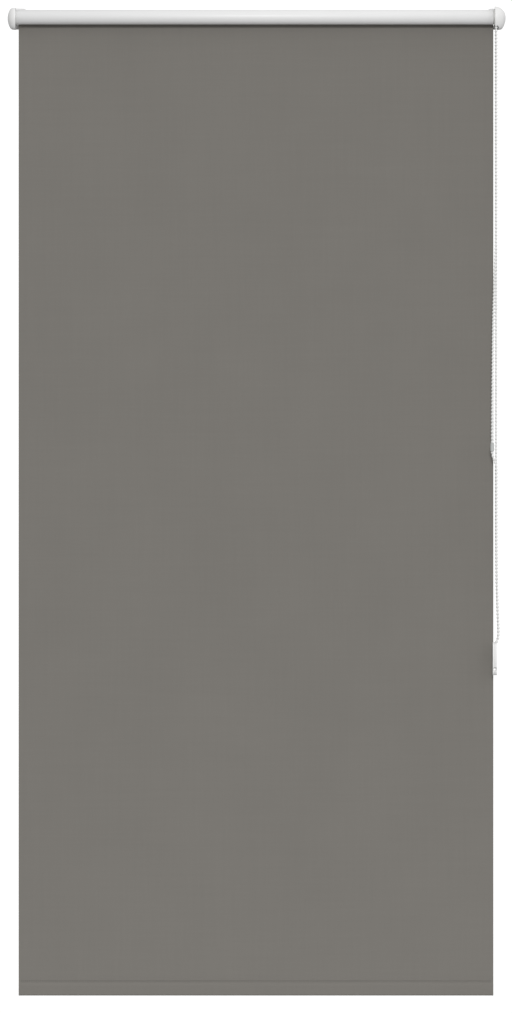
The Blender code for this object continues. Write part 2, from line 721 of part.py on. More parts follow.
def make_wrap_springs():
    """Two springs that grip the spindle until the sleeve pushes one of their tangs."""
    radius = SPINDLE_RADIUS + GAP + WRAP_WIRE / 2
    for number, name in enumerate(("wrap_spring_inner", "wrap_spring_outer")):
        start = SLEEVE_LEFT + 3 * MM + number * WRAP_SPRING_STEP
        points = coil(start, WRAP_PITCH, WRAP_TURNS, radius, 14, 90 + TANG_ANGLE, 90 - TANG_ANGLE + 360)
        tangs = []
        for x, y, z in (points[0], points[-1]):
            share = TANG_REACH / radius
            tangs.append((x, AXIS_Y + (y - AXIS_Y) * share, z * share))
        tube(name, [tangs[0], *points, tangs[1]], WRAP_WIRE / 2, 1, spring_steel)


def make_chain_guard():
    """A hood over the wheel that keeps the beads in their pockets."""
    right = SPINDLE_FLANGE_RIGHT
    left = CHAIN_RIM_X + GAP
    outline = (
        arc((AXIS_Y, 0), GUARD_OUTER, -15, 195, 24) + arc((AXIS_Y, 0), GUARD_INNER, 195, -15, 24)
    )
    flat("chain_guard", [outline], right - left, ((left + right) / 2, 0, 0), PLANE_YZ, white_plastic)


def make_idle_end():
    """The plug in the tube's left end, with a pin that a spring pushes into the bracket."""
    bore = PIN_RADIUS + GAP
    plug = turned(
        "idle_plug",
        [
            (PLUG_RIGHT, SLIP_RADIUS), (PLUG_LEFT + PLUG_FLANGE, SLIP_RADIUS),
            (PLUG_LEFT + PLUG_FLANGE, TUBE_RADIUS), (PLUG_LEFT, TUBE_RADIUS), (PLUG_LEFT, bore),
            (PLUG_SHOULDER, bore), (PLUG_SHOULDER, CHAMBER_RADIUS), (PLUG_RIGHT, CHAMBER_RADIUS),
        ],
        FINE, white_plastic,
    )
    cut(plug, tube_keyway("idle_plug_keyway", PLUG_LEFT + PLUG_FLANGE, PLUG_RIGHT + PLUG_CAP))
    turned(
        "idle_plug_cap",
        [
            (PLUG_RIGHT + GAP + PLUG_CAP, 0), (PLUG_RIGHT + GAP + PLUG_CAP, TUBE_BORE - 2 * TUBE_KEY_HEIGHT),
            (PLUG_RIGHT + GAP, TUBE_BORE - 2 * TUBE_KEY_HEIGHT), (PLUG_RIGHT + GAP, CHAMBER_RADIUS - GAP),
            (PLUG_CAP_LEFT, CHAMBER_RADIUS - GAP), (PLUG_CAP_LEFT, 0),
        ],
        MEDIUM, white_plastic, closed=False,
    )
    tail = PIN_COLLAR_RIGHT + PIN_TAIL_LENGTH
    turned(
        "idle_pin",
        [
            (tail, 0), (tail, PIN_TAIL_RADIUS), (PIN_COLLAR_RIGHT, PIN_TAIL_RADIUS),
            (PIN_COLLAR_RIGHT, PIN_COLLAR_RADIUS), (PIN_COLLAR_LEFT, PIN_COLLAR_RADIUS),
            (PIN_COLLAR_LEFT, PIN_RADIUS), (PIN_LEFT + PIN_RADIUS / 3, PIN_RADIUS),
            (PIN_LEFT, PIN_RADIUS * 2 / 3), (PIN_LEFT, 0),
        ],
        COARSE, spring_steel, closed=False,
    )
    first = PIN_COLLAR_RIGHT + GAP + IDLE_WIRE / 2
    last = PLUG_CAP_LEFT - GAP - IDLE_WIRE / 2
    points = coil(first, (last - first) / IDLE_SPRING_TURNS, IDLE_SPRING_TURNS, IDLE_SPRING_RADIUS, 12, 0, 0)
    tube("idle_spring", points, IDLE_WIRE / 2, 1, spring_steel)


def wrapped_strip(name, inner, outer, start, end, width, centre_x, finish):
    """A strip that follows the tube's back between two angles, 0 at the back and 90 on top."""
    outline = arc((AXIS_Y, 0), outer, start, end, 14) + arc((AXIS_Y, 0), inner, end, start, 14)
    flat(name, [outline], width, (centre_x, 0, 0), PLANE_YZ, finish)


def make_fabric():
    wrapped_strip(
        "fabric_lead", LEAD_INNER, LEAD_OUTER, LEAD_START, LEAD_END, FABRIC_WIDTH, FABRIC_X, taupe_fabric
    )
    tape_inner = TUBE_RADIUS + GAP
    wrapped_strip(
        "fixing_tape", tape_inner, tape_inner + TAPE_THICKNESS, TAPE_START, TAPE_END,
        FABRIC_WIDTH, FABRIC_X, adhesive,
    )
    half = FABRIC_WIDTH / 2
    box(
        "fabric_panel",
        (FABRIC_X - half, PANEL_Y - FABRIC_THICKNESS / 2, HEM_TOP + GAP),
        (FABRIC_X + half, PANEL_Y + FABRIC_THICKNESS / 2, 0),
        taupe_fabric,
    )


def slab_outline(thickness, height, middle_z, steps=6):
    """A flat bar's section in the YZ plane, with full round edges."""
    radius = thickness / 2
    rise = height / 2 - radius
    return (
        arc((PANEL_Y, middle_z + rise), radius, 0, 180, steps)
        + arc((PANEL_Y, middle_z - rise), radius, 180, 360, steps)
    )


def make_bottom_bar():
    """The flat bar that weights the fabric, its two end caps, and the hem pocket round them."""
    outer = slab_outline(HEM_THICKNESS, HEM_HEIGHT, HEM_Z)
    inner = slab_outline(
        HEM_THICKNESS - 2 * FABRIC_THICKNESS, HEM_HEIGHT - 2 * FABRIC_THICKNESS, HEM_Z
    )
    flat("hem_pocket", [outer, inner], FABRIC_WIDTH, (FABRIC_X, 0, 0), PLANE_YZ, taupe_fabric)
    section = slab_outline(BAR_THICKNESS, BAR_HEIGHT, BAR_Z)
    bar_length = FABRIC_WIDTH - 2 * (BAR_CAP_LENGTH + 2 * GAP)
    bar = flat("bottom_bar", [section], bar_length, (FABRIC_X, 0, 0), PLANE_YZ, aluminium)
    for name, side in (("bottom_bar_cap_left", -1), ("bottom_bar_cap_right", 1)):
        end = FABRIC_X + side * bar_length / 2
        face = end + side * GAP
        middle = face + side * BAR_CAP_LENGTH / 2
        cap = flat(name, [section], BAR_CAP_LENGTH, (middle, 0, 0), PLANE_YZ, white_plastic)
        tenon = (BAR_THICKNESS * BAR_TENON_SCALE / 2, BAR_HEIGHT * BAR_TENON_SCALE / 2)
        ends = sorted((middle, face - side * BAR_TENON_LENGTH))
        join(cap, box(
            name + "_tenon", (ends[0], PANEL_Y - tenon[0], BAR_Z - tenon[1]),
            (ends[1], PANEL_Y + tenon[0], BAR_Z + tenon[1]),
        ))
        room = (tenon[0] + GAP, tenon[1] + GAP)
        ends = sorted((end + side * GAP, face - side * (BAR_TENON_LENGTH + GAP)))
        cut(bar, box(
            name + "_mortise", (ends[0], PANEL_Y - room[0], BAR_Z - room[1]),
            (ends[1], PANEL_Y + room[0], BAR_Z + room[1]),
        ))


def make_chain():
    """The hanging loop, the stretch over the wheel, and the connector in the front strand."""
    route = chain_route()
    tube("chain_loop", route, BEAD_DIAMETER / 2, 2, white_plastic)
    over = [(CHAIN_X, AXIS_Y - PITCH_RADIUS, -CHAIN_EXIT_DROP + GAP)]
    steps = 16
    for n in range(steps + 1):
        turn = math.pi * n / steps
        over.append((CHAIN_X, AXIS_Y - PITCH_RADIUS * math.cos(turn), PITCH_RADIUS * math.sin(turn)))
    over.append((CHAIN_X, AXIS_Y + PITCH_RADIUS, -CHAIN_EXIT_DROP + GAP))
    tube("chain_on_wheel", over, CHAIN_THREAD / 2, 1, white_plastic)
    middle = min(route[: len(route) // 2], key=lambda p: abs(p.z + CONNECTOR_HEIGHT))
    after = route[route.index(middle) + 1]
    along = (middle - after).normalized()
    start = middle - along * CONNECTOR_LENGTH / 2
    bore = BEAD_DIAMETER / 2 + CHAIN_BORE_CLEARANCE
    connector = rod(
        "chain_connector", start, along, CONNECTOR_LENGTH, CONNECTOR_RADIUS, COARSE, white_plastic
    )
    cut(connector, rod(
        "chain_connector_bore", start - along * CONNECTOR_LENGTH / 2, along, 2 * CONNECTOR_LENGTH, bore,
        COARSE,
    ))


def make_tensioner():
    """Two halves that close round the chain's bend, with a screw hole through from the front."""
    low = (TENSIONER_CENTRE_Y - TENSIONER_DEPTH / 2, -TENSIONER_TOP - TENSIONER_HEIGHT)
    high = (TENSIONER_CENTRE_Y + TENSIONER_DEPTH / 2, -TENSIONER_TOP)
    outline = rounded_box(low, high, TENSIONER_CORNER)
    chain = [p for p in chain_route() if p.z < -TENSIONER_TOP + ROUTE_STEP]
    channel = as_mesh(tube("tensioner_channel", chain, BEAD_DIAMETER / 2 + CHAIN_BORE_CLEARANCE, 2))
    height = low[1] + TENSIONER_SCREW_HEIGHT
    front = low[0] - TENSIONER_CORNER
    hole = rod(
        "tensioner_hole", (TENSIONER_CENTRE_X, front, height), (0, 1, 0),
        TENSIONER_DEPTH + 2 * TENSIONER_CORNER, TENSIONER_SCREW_DIAMETER / 2, COARSE,
    )
    half = TENSIONER_HEAD_WIDTH / 2
    recess = box(
        "tensioner_recess", (TENSIONER_CENTRE_X - half + GAP * 2, front, height - half),
        (TENSIONER_CENTRE_X + half - GAP * 2, low[0] + TENSIONER_HEAD_DEPTH, height + half),
    )
    thickness = (TENSIONER_WIDTH - GAP) / 2
    for name, side in (("tensioner_body", 1), ("tensioner_cover", -1)):
        middle = TENSIONER_CENTRE_X + side * (GAP + thickness) / 2
        shell = flat(name, [outline], thickness, (middle, 0, 0), PLANE_YZ, white_plastic)
        for cutter in (channel, hole, recess):
            cut(shell, cutter)


def main():
    make_idle_bracket()
    make_chain_bracket()
    make_tube()
    make_spindle()
    make_clip()
    make_crown()
    make_wrap_springs()
    make_chain_wheel()
    make_chain_guard()
    make_idle_end()
    make_fabric()
    make_bottom_bar()
    make_chain()
    make_tensioner()


main()
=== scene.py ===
"""Roller blind: the looks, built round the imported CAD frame. Metres, +Z up, front facing -Y."""
import math

import bmesh
import bpy
import numpy as np
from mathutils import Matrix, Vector, noise


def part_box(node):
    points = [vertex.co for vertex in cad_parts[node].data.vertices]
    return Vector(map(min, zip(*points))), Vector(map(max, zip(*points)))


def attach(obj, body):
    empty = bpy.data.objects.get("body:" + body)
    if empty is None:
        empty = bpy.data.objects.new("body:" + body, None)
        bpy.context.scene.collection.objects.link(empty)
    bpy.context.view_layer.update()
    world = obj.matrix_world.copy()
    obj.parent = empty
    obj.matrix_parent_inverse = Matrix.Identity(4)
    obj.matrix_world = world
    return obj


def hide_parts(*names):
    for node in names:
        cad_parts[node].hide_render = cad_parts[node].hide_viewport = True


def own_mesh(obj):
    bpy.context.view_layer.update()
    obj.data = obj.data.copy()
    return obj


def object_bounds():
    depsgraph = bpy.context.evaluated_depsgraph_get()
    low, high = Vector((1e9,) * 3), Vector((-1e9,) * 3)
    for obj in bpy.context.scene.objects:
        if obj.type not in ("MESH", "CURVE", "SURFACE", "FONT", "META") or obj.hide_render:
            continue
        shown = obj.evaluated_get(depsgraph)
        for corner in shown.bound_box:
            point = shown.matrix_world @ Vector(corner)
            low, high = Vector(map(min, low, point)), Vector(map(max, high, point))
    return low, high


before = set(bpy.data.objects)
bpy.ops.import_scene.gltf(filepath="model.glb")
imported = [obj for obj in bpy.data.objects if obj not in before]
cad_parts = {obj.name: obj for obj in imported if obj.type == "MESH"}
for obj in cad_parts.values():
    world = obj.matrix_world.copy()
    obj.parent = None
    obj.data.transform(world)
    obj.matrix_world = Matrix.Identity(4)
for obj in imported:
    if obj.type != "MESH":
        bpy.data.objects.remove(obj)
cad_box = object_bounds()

MM = 0.001
TOLERANCE = 1e-6

# Places and sizes read from the frame
TUBE_LOW, TUBE_HIGH = (Vector(c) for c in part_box("roller_tube"))
PANEL_LOW, PANEL_HIGH = (Vector(c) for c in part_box("fabric_panel"))
HEM_LOW, HEM_HIGH = (Vector(c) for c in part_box("hem_pocket"))
LEAD_LOW, LEAD_HIGH = (Vector(c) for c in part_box("fabric_lead"))
AXIS_Y = (TUBE_LOW.y + TUBE_HIGH.y) / 2
TUBE_RADIUS = (TUBE_HIGH.z - TUBE_LOW.z) / 2
PANEL_Y = (PANEL_LOW.y + PANEL_HIGH.y) / 2
FABRIC_THICKNESS = PANEL_HIGH.y - PANEL_LOW.y
FABRIC_WIDTH = PANEL_HIGH.x - PANEL_LOW.x

# Tube
TUBE_WALL = 1 * MM
TUBE_KEY_WIDTH = 2 * MM
TUBE_KEY_HEIGHT = 1.2 * MM
TUBE_KEY_STEP = 0.3 * MM
TUBE_LIP = 0.15 * MM
TUBE_SIDES = 128

# Cloth: where it is held flat, the curl of its sides, its ripples, and the end glued to the tube
HELD_AT_TOP = 120 * MM
HELD_AT_HEM = 100 * MM
CURL_WIDTH = 26 * MM
CURL_DEPTH = 1.1 * MM
RIPPLE_DEPTH = 1 * MM
FINE_RIPPLE_DEPTH = 0.12 * MM

# Hem: the cloth folded into it, its shape from the top down, its unevenness, and its stitches
HEM_OVERLAP = 0.8 * MM
HEM_PROUD = 0.15 * MM
HEM_LAP = 1.15 * FABRIC_THICKNESS
HEM_GROOVE = 0.15 * MM
HEM_CREASE = 0.6 * MM
HEM_SEWN = 4.2 * MM
HEM_EASING = 5.5 * MM
HEM_STRAIGHT = 4 * MM
HEM_WAVE = 0.15 * MM
HEM_PUCKER = 0.12 * MM
HEM_CALM = 6 * MM
STITCH_DROP = 1.3 * MM
STITCH_ROWS = 2.2 * MM
STITCH_PITCH = 3.2 * MM
STITCH_LENGTH = 2.6 * MM
STITCH_WIDTH = 0.5 * MM
STITCH_MARGIN = 3 * MM

# Bead chain
BEAD_RADIUS = 2.25 * MM
BEAD_FLAT = 0.93 * BEAD_RADIUS
PARTING_LINE = 1.012
BEAD_PITCH = 6 * MM
THREAD_RADIUS = 1.2 * MM
POCKET_COUNT = 12
HANGING_BEADS = 2
PITCH_RADIUS = BEAD_PITCH / (2 * math.sin(math.pi / POCKET_COUNT))
TENSIONER_CENTRE = (0.4064, -0.0306, -1.0930)
TENSIONER_BEND_RADIUS = 9.2 * MM
ROUTE_STEP = 8 * MM

# The chain's route, down the front, round the tensioner and up the back
FRONT_ROUTE = (
    (0.4087, -0.0386, -0.0138), (0.4087, -0.0386, -0.0600), (0.4086, -0.0386, -0.2000),
    (0.4082, -0.0387, -0.3800), (0.4058, -0.0388, -0.4500), (0.4038, -0.0389, -0.5100),
    (0.4028, -0.0390, -0.5900), (0.4020, -0.0391, -0.6800), (0.4018, -0.0392, -0.7220),
    (0.4018, -0.0392, -0.7340), (0.4018, -0.0392, -0.7440), (0.4032, -0.0392, -0.7510),
    (0.4068, -0.0393, -0.7590), (0.4088, -0.0394, -0.7680), (0.4090, -0.0394, -0.7820),
    (0.4090, -0.0396, -0.8800), (0.4096, -0.0398, -0.9500), (0.4106, -0.0398, -0.9950),
    (0.4122, -0.0398, -1.0360), (0.4126, -0.0398, -1.0500), (0.4118, -0.0398, -1.0600),
    (0.4092, -0.0398, -1.0670), (0.4068, -0.0398, -1.0750), (0.4064, -0.0398, -1.0840),
)
REAR_ROUTE = (
    (0.4064, -0.0214, -1.0840), (0.4068, -0.0214, -1.0750), (0.4092, -0.0214, -1.0670),
    (0.4118, -0.0213, -1.0600), (0.4126, -0.0212, -1.0500), (0.4122, -0.0210, -1.0360),
    (0.4106, -0.0202, -0.9950), (0.4096, -0.0195, -0.9500), (0.4090, -0.0186, -0.8800),
    (0.4089, -0.0180, -0.8000), (0.4089, -0.0168, -0.6000), (0.4089, -0.0158, -0.3000),
    (0.4087, -0.0154, -0.0600), (0.4087, -0.0154, -0.0138),
)

# Bracket covers: how far the dome's middle lies below the roller's axis, how far the dome would
# rise and fall from there, and the levels where it is flattened off
COVER_WALL = 1.3 * MM
COVER_FULLNESS = 2
COVER_FLATNESS = 12
COVER_RIM = 0.35 * MM
LEFT_COVER = {
    "drop": 2.3 * MM, "rise": 21.5 * MM, "fall": 21.5 * MM, "top": 18.5 * MM, "bottom": 18.8 * MM,
}
RIGHT_COVER = {
    "drop": 0.5 * MM, "rise": 18.9 * MM, "fall": 26 * MM, "top": 22 * MM, "bottom": 20.6 * MM,
}

# The chain's opening in the right cover: the cutter's room beside and below, and its corners
NOTCH_SIDE_ROOM = 2 * MM
NOTCH_DEPTH_ROOM = 6 * MM
NOTCH_CORNER = 1.5 * MM

# Studio: strengths of light, angles in degrees, lengths in metres
WORLD_ABOVE = 0.74
WORLD_BELOW = 0.38
WORLD_BLEND = 0.25
WORLD_LEFT = 0.72
WORLD_RIGHT = 1.16
WORLD_SEEN = 1.1
KEY_STRENGTH = 1.36
KEY_WIDTH = 9
KEY_ELEVATION = 18
KEY_SIDE = 1
FLOOR_RADIUS = 1.2
FLOOR_DROP = 0.8
CAMERA_DISTANCE = 20.0
CAMERA_TARGET = Vector((-0.0011, AXIS_Y, -0.8352))
IMAGE_HEIGHT = 1013
METRES_A_PIXEL = 1.7068 * MM


# ---------------------------------------------------------------- materials


class Look:
    """A Principled material with the few nodes that its surface needs."""

    def __init__(self, name, color, roughness, metallic=0.0, **sockets):
        self.material = bpy.data.materials.new(name)
        self.material.use_nodes = True
        self.tree = self.material.node_tree
        self.shader = self.tree.nodes["Principled BSDF"]
        self.shader.inputs["Base Color"].default_value = (*color, 1)
        self.shader.inputs["Roughness"].default_value = roughness
        self.shader.inputs["Metallic"].default_value = metallic
        for socket, value in sockets.items():
            self.shader.inputs[socket.replace("_", " ")].default_value = value
        self.material.diffuse_color = (*color, 1)
        self.color = color
        self.place = self.node("ShaderNodeTexCoord").outputs["Object"]
        self.height = None

    def node(self, kind, **settings):
        made = self.tree.nodes.new(kind)
        for key, value in settings.items():
            setattr(made, key, value)
        return made

    def link(self, start, end):
        self.tree.links.new(start, end)

    def stretched(self, scale):
        """The object's coordinates, stretched along each axis."""
        mapping = self.node("ShaderNodeMapping")
        mapping.inputs["Scale"].default_value = scale
        self.link(self.place, mapping.inputs["Vector"])
        return mapping.outputs["Vector"]

    def noise(self, scale, detail=2.0, roughness=0.5, stretch=(1, 1, 1)):
        made = self.node("ShaderNodeTexNoise")
        made.inputs["Scale"].default_value = scale
        made.inputs["Detail"].default_value = detail
        made.inputs["Roughness"].default_value = roughness
        self.link(self.stretched(stretch), made.inputs["Vector"])
        return made.outputs["Fac"]

    def bands(self, direction, period, distortion=0.0):
        """Even ridges along one axis; a wave texture repeats every pi / 10 at scale 1."""
        made = self.node("ShaderNodeTexWave", bands_direction=direction)
        made.inputs["Scale"].default_value = math.pi / 10 / period
        made.inputs["Distortion"].default_value = distortion
        made.inputs["Detail"].default_value = 1.0
        self.link(self.place, made.inputs["Vector"])
        return made.outputs["Fac"]

    def math(self, operation, first, second):
        made = self.node("ShaderNodeMath", operation=operation)
        for socket, value in zip(made.inputs, (first, second)):
            if isinstance(value, (int, float)):
                socket.default_value = value
            else:
                self.link(value, socket)
        return made.outputs["Value"]

    def blend(self, first, first_share, second, second_share):
        """Two values added together, each by its share."""
        first_part = self.math("MULTIPLY", first, first_share)
        return self.math("ADD", first_part, self.math("MULTIPLY", second, second_share))

    def spread(self, fac, low, high):
        """Map 0..1 to low..high."""
        made = self.node("ShaderNodeMapRange")
        self.link(fac, made.inputs["Value"])
        made.inputs["To Min"].default_value = low
        made.inputs["To Max"].default_value = high
        return made.outputs["Result"]

    def shade_color(self, fac, dark, light):
        """Scale the base colour between two brightnesses by a 0..1 value."""
        made = self.node("ShaderNodeMix", data_type="RGBA")
        made.inputs["A"].default_value = (*[c * dark for c in self.color], 1)
        made.inputs["B"].default_value = (*[min(1.0, c * light) for c in self.color], 1)
        self.link(fac, made.inputs["Factor"])
        self.link(made.outputs["Result"], self.shader.inputs["Base Color"])

    def vary_roughness(self, fac, low, high):
        self.link(self.spread(fac, low, high), self.shader.inputs["Roughness"])

    def bump(self, height, depth, strength=1.0):
        """Add a bump layer of a real depth in metres on top of the ones before it."""
        made = self.node("ShaderNodeBump")
        made.inputs["Distance"].default_value = depth
        made.inputs["Strength"].default_value = strength
        self.link(height, made.inputs["Height"])
        if self.height:
            self.link(self.height, made.inputs["Normal"])
        self.height = made.outputs["Normal"]
        self.link(self.height, self.shader.inputs["Normal"])


def moulded(name, color, roughness, grain=0.00002):
    """Injection-moulded plastic: a faint grain, flow marks and handling marks in the gloss."""
    look = Look(name, color, roughness, IOR=1.49, Specular_IOR_Level=0.5)
    look.bump(look.noise(900, 3.0), grain)
    look.bump(look.noise(35, 1.0), grain * 6)
    look.vary_roughness(look.noise(220, 4.0, 0.65), roughness - 0.06, roughness + 0.08)
    look.shade_color(look.noise(60, 3.0), 0.975, 1.02)
    return look.material


def enamel(name, color, roughness):
    """Baked enamel over drawn tube or sheet: orange peel, and faint lines along X."""
    look = Look(name, color, roughness, Coat_Weight=0.2, Coat_Roughness=0.35, IOR=1.5)
    look.bump(look.noise(420, 2.0), 0.00002)
    look.bump(look.noise(700, 2.0, 0.5, (0.02, 1, 1)), 0.00001)
    look.vary_roughness(look.noise(90, 4.0, 0.6), roughness - 0.05, roughness + 0.07)
    look.shade_color(look.noise(14, 2.0), 0.985, 1.01)
    return look.material


def blind_cloth(name, color):
    """Matte plain-weave polyester: yarns 0.45 mm apart both ways, with slubs."""
    look = Look(name, color, 0.9, IOR=1.45, Specular_IOR_Level=0.2)
    two_yarns = 0.9 * MM
    warp = look.bands("X", two_yarns, 0.4)
    weft = look.bands("Z", two_yarns, 0.4)
    weave = look.math("MULTIPLY", warp, weft)
    crossing = look.blend(weave, 0.7, warp, 0.3)
    slub_up = look.noise(260, 3.0, 0.6, (1, 1, 0.03))
    slub_across = look.noise(260, 3.0, 0.6, (0.03, 1, 1))
    slubs = look.math("MULTIPLY", look.math("ADD", slub_up, slub_across), 0.5)
    mottle = look.noise(7, 3.0, 0.55)
    tone = look.blend(slubs, 0.6, mottle, 0.4)
    look.bump(crossing, 0.00005, 0.6)
    look.bump(slubs, 0.00008, 0.5)
    look.shade_color(look.blend(tone, 0.8, crossing, 0.2), 0.88, 1.12)
    look.vary_roughness(slubs, 0.8, 0.92)
    return look.material


def steel(name, color, roughness, along):
    """Bright drawn metal with fine lines along its length."""
    look = Look(name, color, roughness, 1.0)
    look.bump(look.noise(1500, 3.0, 0.6, along), 0.00001)
    look.vary_roughness(look.noise(300, 4.0, 0.6), roughness - 0.08, roughness + 0.12)
    look.shade_color(look.noise(120, 3.0), 0.9, 1.05)
    return look.material


def tape_film(name):
    """Yellowed double-sided film with slight creases."""
    look = Look(name, (0.80, 0.79, 0.72), 0.4, IOR=1.46)
    look.bump(look.noise(150, 3.0, 0.6, (0.2, 1, 1)), 0.00006)
    look.vary_roughness(look.noise(80, 3.0), 0.3, 0.5)
    look.shade_color(look.noise(40, 3.0), 0.93, 1.03)
    return look.material


ENAMEL = enamel("white_enamel", (0.81, 0.81, 0.81), 0.5)
PLASTIC = moulded("white_plastic", (0.84, 0.84, 0.835), 0.42)
CHAIN_PLASTIC = moulded("chain_plastic", (0.84, 0.84, 0.83), 0.5, 0.00001)
CONNECTOR_PLASTIC = moulded("connector_plastic", (0.52, 0.53, 0.52), 0.22, 0.00001)
CLUTCH_PLASTIC = moulded("clutch_plastic", (0.70, 0.70, 0.68), 0.5)
FABRIC = blind_cloth("blind_fabric", (0.197, 0.187, 0.170))
STITCHING = moulded("stitching", (0.105, 0.10, 0.09), 0.8, 0.00003)
WIRE = steel("spring_wire", (0.56, 0.56, 0.57), 0.3, (1, 1, 1))
ALUMINIUM = steel("bar_aluminium", (0.75, 0.75, 0.76), 0.34, (0.02, 1, 1))
TAPE = tape_film("adhesive_tape")


# ---------------------------------------------------------------- mesh helpers


def piece(name, mesh, material, body, slot, *replaced):
    """A finished piece that rides on a body and stands for CAD nodes."""
    made = bpy.data.objects.new(name, mesh)
    bpy.context.scene.collection.objects.link(made)
    mesh.materials.clear()
    mesh.materials.append(material)
    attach(made, body)
    if replaced:
        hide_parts(*replaced)
    return made


def mesh_from(work, name, smooth_angle=40):
    """A smooth-shaded mesh that keeps its sharp edges."""
    bmesh.ops.recalc_face_normals(work, faces=work.faces)
    mesh = bpy.data.meshes.new(name)
    work.to_mesh(mesh)
    work.free()
    mesh.shade_smooth()
    mesh.set_sharp_from_angle(angle=math.radians(smooth_angle))
    return mesh


def softened(node, name, material, body, slot, width):
    """A CAD node's shape with its edges rounded."""
    work = bmesh.new()
    work.from_mesh(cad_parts[node].data)
    bmesh.ops.remove_doubles(work, verts=work.verts, dist=TOLERANCE)
    bmesh.ops.dissolve_limit(
        work, angle_limit=math.radians(1), verts=work.verts, edges=work.edges, delimit={"NORMAL"}
    )
    made = piece(name, mesh_from(work, name), material, body, slot, node)
    round_off = made.modifiers.new("rounded_edges", "BEVEL")
    round_off.width = width
    round_off.segments = 2
    round_off.limit_method = "ANGLE"
    round_off.angle_limit = math.radians(38)
    return made


def dress(node, material):
    """A CAD node that stays as it is takes a better material."""
    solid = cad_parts[node]
    if not solid.material_slots:
        solid.data.materials.append(material)
    for slot in solid.material_slots:
        slot.material = material


def sweep_rings(work, rings, cyclic):
    """Skin a list of rings of points, each ring closed or open."""
    rows = [[work.verts.new(p) for p in ring] for ring in rings]
    for row, after in zip(rows, rows[1:]):
        count = len(row)
        for n in range(count if cyclic else count - 1):
            m = (n + 1) % count
            work.faces.new((row[n], row[m], after[m], after[n]))
    return rows


def smooth_route(points, step):
    """Points along a smooth curve through the route's own points."""
    points = [Vector(p) for p in points]
    ends = [2 * points[0] - points[1]] + points + [2 * points[-1] - points[-2]]
    made = []
    for before, start, end, after in zip(ends, ends[1:], ends[2:], ends[3:]):
        reach = (end - start).length
        count = max(1, math.ceil(reach / step))
        leave = (end - before).normalized() * reach
        arrive = (after - start).normalized() * reach
        for n in range(count):
            t = n / count
            made.append(
                start * (2 * t**3 - 3 * t**2 + 1) + leave * (t**3 - 2 * t**2 + t)
                + end * (-2 * t**3 + 3 * t**2) + arrive * (t**3 - t**2)
            )
    return made + [points[-1]]


# ---------------------------------------------------------------- bead chain


def chain_route():
    """The hanging loop from the wheel's front to its back."""
    x, y, z = TENSIONER_CENTRE
    steps = 16
    bend = [
        Vector((
            x,
            y - TENSIONER_BEND_RADIUS * math.cos(math.pi * n / steps),
            z - TENSIONER_BEND_RADIUS * math.sin(math.pi * n / steps),
        ))
        for n in range(steps + 1)
    ]
    return smooth_route(FRONT_ROUTE, ROUTE_STEP) + bend + smooth_route(REAR_ROUTE, ROUTE_STEP)


def route_length(points):
    return sum((b - a).length for a, b in zip(points, points[1:]))


def spaced(points, start, pitch):
    """Points and directions at even distances along a route, from a first distance."""
    found, travelled, target = [], 0.0, start
    for a, b in zip(points, points[1:]):
        reach = (b - a).length
        while reach > 0 and travelled + reach >= target:
            found.append((a.lerp(b, (target - travelled) / reach), (b - a).normalized()))
            target += pitch
        travelled += reach
    return found


def copies(shape, frames):
    """One mesh's points and faces, repeated at each centre and along each direction."""
    corners = np.array([v.co[:] for v in shape.verts])
    faces = [[v.index for v in f.verts] for f in shape.faces]
    points, polygons = [], []
    for number, (centre, along) in enumerate(frames):
        turn = np.array(along.to_track_quat("Z", "Y").to_matrix())
        points.append(corners @ turn.T + np.array(centre))
        offset = number * len(corners)
        polygons += [[offset + n for n in face] for face in faces]
    shape.free()
    return np.concatenate(points).tolist(), polygons


def bead_shape():
    """A moulded ball: a parting line round it, and a small flat where the thread enters."""
    work = bmesh.new()
    bmesh.ops.create_uvsphere(work, u_segments=20, v_segments=14, radius=BEAD_RADIUS)
    for vert in work.verts:
        if abs(vert.co.z) > BEAD_FLAT:
            vert.co.z = math.copysign(BEAD_FLAT, vert.co.z)
        if abs(vert.co.z) < TOLERANCE:
            vert.co *= PARTING_LINE
    work.verts.index_update()
    return work


def thread_rings(points):
    """The thread's outline round each point of a route."""
    sides = 8
    rings = []
    for n, point in enumerate(points):
        along = (points[min(n + 1, len(points) - 1)] - points[max(n - 1, 0)]).normalized()
        across = along.cross(Vector((1, 0, 0))).normalized()
        other = along.cross(across)
        rings.append([
            point + THREAD_RADIUS * (across * math.cos(a) + other * math.sin(a))
            for a in (2 * math.pi * k / sides for k in range(sides))
        ])
    return rings


def beads_on_thread(name, frames, route):
    """Beads at the given places, with the thread that runs through them."""
    work = bmesh.new()
    rows = sweep_rings(work, thread_rings(route), True)
    for row in (rows[0], rows[-1]):
        work.faces.new(row)
    bmesh.ops.recalc_face_normals(work, faces=work.faces)
    work.verts.index_update()
    points = [v.co[:] for v in work.verts]
    polygons = [[v.index for v in f.verts] for f in work.faces]
    work.free()
    bead_points, bead_polygons = copies(bead_shape(), frames)
    offset = len(points)
    mesh = bpy.data.meshes.new(name)
    mesh.from_pydata(
        points + bead_points, [], polygons + [[offset + n for n in face] for face in bead_polygons]
    )
    mesh.shade_smooth()
    return mesh


def make_chain():
    """The hanging loop, whose beads go on at an even pitch from the wheel's last ones."""
    route = chain_route()
    length = route_length(route)
    first = BEAD_PITCH * (HANGING_BEADS + 1) + FRONT_ROUTE[0][2]
    count = round((length - 2 * first) / BEAD_PITCH)
    pitch = (length - 2 * first) / count
    mesh = beads_on_thread("bead_chain", spaced(route, first, pitch), route)
    loop = piece("bead_chain", mesh, CHAIN_PLASTIC, "root", "chain_plastic", "chain_loop")
    return loop, route, length


